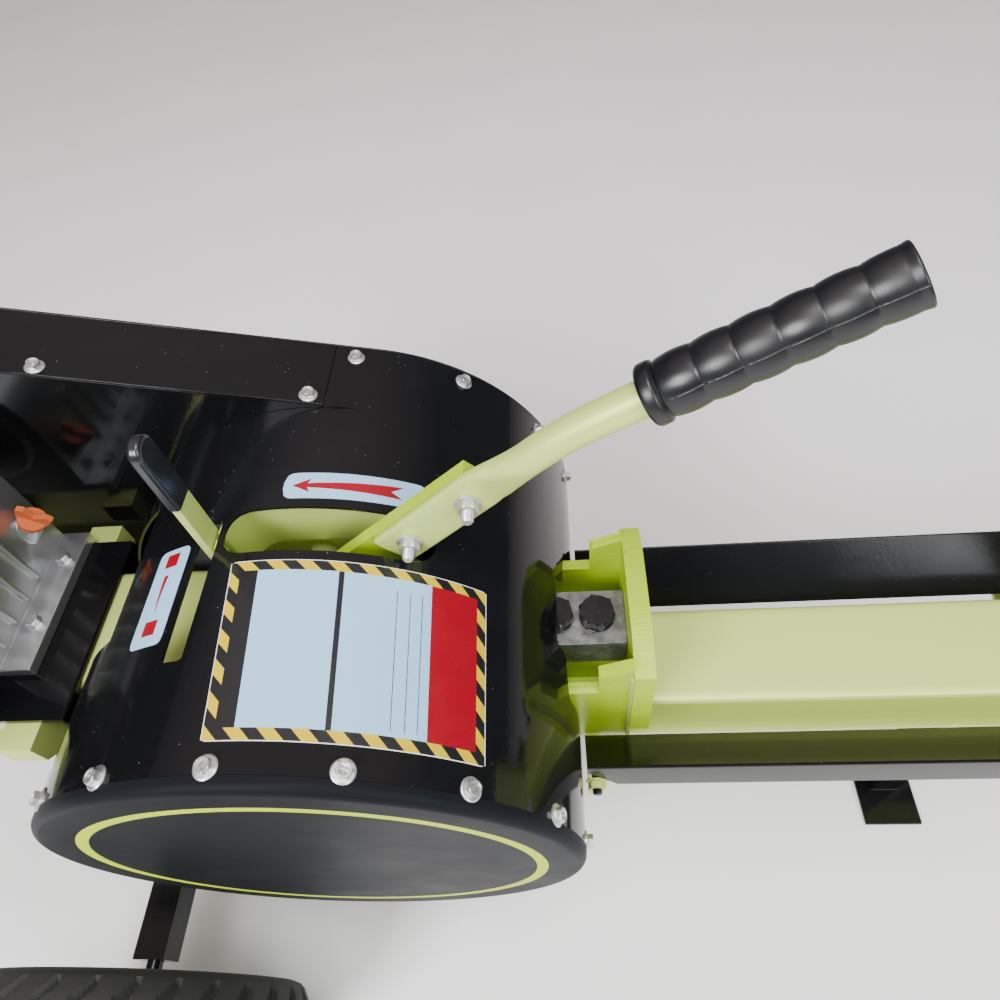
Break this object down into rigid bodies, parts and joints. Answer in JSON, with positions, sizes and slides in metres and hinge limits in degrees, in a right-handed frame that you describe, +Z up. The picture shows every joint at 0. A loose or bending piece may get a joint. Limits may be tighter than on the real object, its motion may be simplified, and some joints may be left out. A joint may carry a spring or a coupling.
{
  "type": "log splitter",
  "caption": "Petrol flywheel log splitter: a belt-driven flywheel drum, rack and pusher on an H-beam with log cradles, wedge, handle, wheels and engine.",
  "frame": {"origin": "centre of the bounding box's base, on the ground", "axes": "+X along the beam towards the wedge, +Z up, -Y the side with the round drum cover"},
  "size_m": [1.68, 0.768, 0.9677],
  "materials": {
    "lime_paint": "satin powder coat",
    "black_gloss_paint": "gloss powder coat",
    "grey_paint": "satin powder coat",
    "zinc_plate": "zinc plated",
    "black_steel": "black oxide",
    "cast_iron": "as cast",
    "machined_steel": "machined",
    "black_rubber": "matt",
    "cast_aluminium": "as cast",
    "orange_plastic": "moulded",
    "black_plastic": "moulded",
    "tyre_rubber": "matt"
  },
  "bodies": {
    "frame": {"air_cleaner": "black_plastic", "axle_frame": "black_gloss_paint", "beam": "lime_paint", "bearing_far": "cast_iron", "bearing_near": "cast_iron", "belt_guard_box": "black_gloss_paint", "belt_guard_face": "black_gloss_paint", "blower_housing": "black_gloss_paint", "carburettor": "cast_aluminium", "crankcase": "cast_aluminium", "cylinder": "cast_aluminium", "drive_belt": "black_rubber", "drum_near_cover": "grey_paint", "drum_wrap_lower": "black_gloss_paint", "drum_wrap_upper": "black_gloss_paint", "engine_plate": "black_gloss_paint", "frame_cheeks": "lime_paint", "fuel_tank": "black_gloss_paint", "handle_pivot_bolt": "zinc_plate", "lever_pivot_bolt": "zinc_plate", "lift_handle": "black_gloss_paint", "log_cradle_far": "black_gloss_paint", "log_cradle_near": "black_gloss_paint", "rack_lift_pad": "black_rubber", "rack_tunnel": "lime_paint", "recoil_starter": "black_plastic", "return_spring": "machined_steel", "silencer": "machined_steel", "spark_plug_cap": "black_rubber", "splitting_wedge": "lime_paint", "support_leg": "black_gloss_paint"},
    "carriage": {"rack": "machined_steel", "pusher": "lime_paint", "clamp_block": "zinc_plate", "clamp_bolt_front": "black_steel", "clamp_bolt_rear": "black_steel"},
    "flywheels": {"flywheel_near": "cast_iron", "flywheel_far": "cast_iron", "pinion_shaft": "machined_steel", "flywheel_pulley": "cast_iron"},
    "crank": {"engine_pulley": "machined_steel"},
    "handle": {"handle_arm": "lime_paint", "handle_tube": "lime_paint", "handle_grip": "black_rubber", "handle_bolt_lower": "zinc_plate", "handle_bolt_upper": "zinc_plate"},
    "press_roller": {"press_roller": "machined_steel"},
    "safety_lever": {"safety_lever": "lime_paint", "lever_sleeve": "black_plastic"},
    "wheel_near": {"tyre_near": "tyre_rubber", "rim_near": "lime_paint"},
    "wheel_far": {"tyre_far": "tyre_rubber", "rim_far": "lime_paint"},
    "throttle_lever": {"throttle_lever": "machined_steel"},
    "choke_lever": {"choke_lever": "black_plastic"},
    "fuel_valve_lever": {"fuel_valve_lever": "black_plastic"},
    "engine_switch": {"engine_switch": "orange_plastic"},
    "recoil_grip": {"recoil_grip": "black_plastic"},
    "fuel_cap": {"fuel_cap": "black_plastic"},
    "oil_dipstick": {"oil_dipstick": "orange_plastic"}
  },
  "joints": [
    {"name": "carriage_slide", "type": "slide", "parent": "frame", "child": "carriage", "axis": [1, 0, 0], "range_m": [0, 0.43], "stiffness_N_per_m": 80, "springref_m": -0.3, "deforming": ["return_spring"]},
    {"name": "flywheel_spin", "type": "hinge", "parent": "frame", "child": "flywheels", "pos_m": [-0.2, 0, 0.5], "axis": [0, 1, 0], "continuous": true},
    {"name": "crank_spin", "type": "hinge", "parent": "frame", "child": "crank", "pos_m": [-0.6, 0.172, 0.7], "axis": [0, 1, 0], "continuous": true},
    {"name": "handle_pivot", "type": "hinge", "parent": "frame", "child": "handle", "pos_m": [-0.2, 0, 0.6313], "axis": [0, -1, 0], "range_deg": [0, 55]},
    {"name": "roller_spin", "type": "hinge", "parent": "handle", "child": "press_roller", "pos_m": [-0.23962, -0.009, 0.59686], "axis": [0, 1, 0], "continuous": true},
    {"name": "safety_lever_pivot", "type": "hinge", "parent": "frame", "child": "safety_lever", "pos_m": [-0.2605, -0.012, 0.62], "axis": [1, 0, 0], "range_deg": [0, 33]},
    {"name": "wheel_near_spin", "type": "hinge", "parent": "frame", "child": "wheel_near", "pos_m": [-0.5, -0.328, 0.2], "axis": [0, 1, 0], "continuous": true},
    {"name": "wheel_far_spin", "type": "hinge", "parent": "frame", "child": "wheel_far", "pos_m": [-0.5, 0.328, 0.2], "axis": [0, 1, 0], "continuous": true},
    {"name": "throttle_pivot", "type": "hinge", "parent": "frame", "child": "throttle_lever", "pos_m": [-0.675, -0.1503, 0.796], "axis": [0, -1, 0], "range_deg": [0, 40]},
    {"name": "choke_pivot", "type": "hinge", "parent": "frame", "child": "choke_lever", "pos_m": [-0.745, -0.1073, 0.77], "axis": [0, -1, 0], "range_deg": [0, 40]},
    {"name": "fuel_valve_pivot", "type": "hinge", "parent": "frame", "child": "fuel_valve_lever", "pos_m": [-0.745, -0.1073, 0.748], "axis": [0, -1, 0], "range_deg": [0, 45]},
    {"name": "switch_turn", "type": "hinge", "parent": "frame", "child": "engine_switch", "pos_m": [-0.652, -0.1503, 0.792], "axis": [0, -1, 0], "range_deg": [0, 60]},
    {"name": "starter_pull", "type": "slide", "parent": "frame", "child": "recoil_grip", "axis": [0, -0.5, 0.866], "range_m": [0, 0.5], "stiffness_N_per_m": 40},
    {"name": "fuel_cap_turn", "type": "hinge", "parent": "frame", "child": "fuel_cap", "pos_m": [-0.63, -0.05, 0.9293], "axis": [0, 0, 1], "range_deg": [0, 90]},
    {"name": "dipstick_turn", "type": "hinge", "parent": "frame", "child": "oil_dipstick", "pos_m": [-0.515, 0.082, 0.65], "axis": [0.6691, 0, 0.7431], "continuous": true}
  ],
  "couplings": [
    {"joint": "crank_spin", "follows": "flywheel_spin", "ratio": 5}
  ]
}
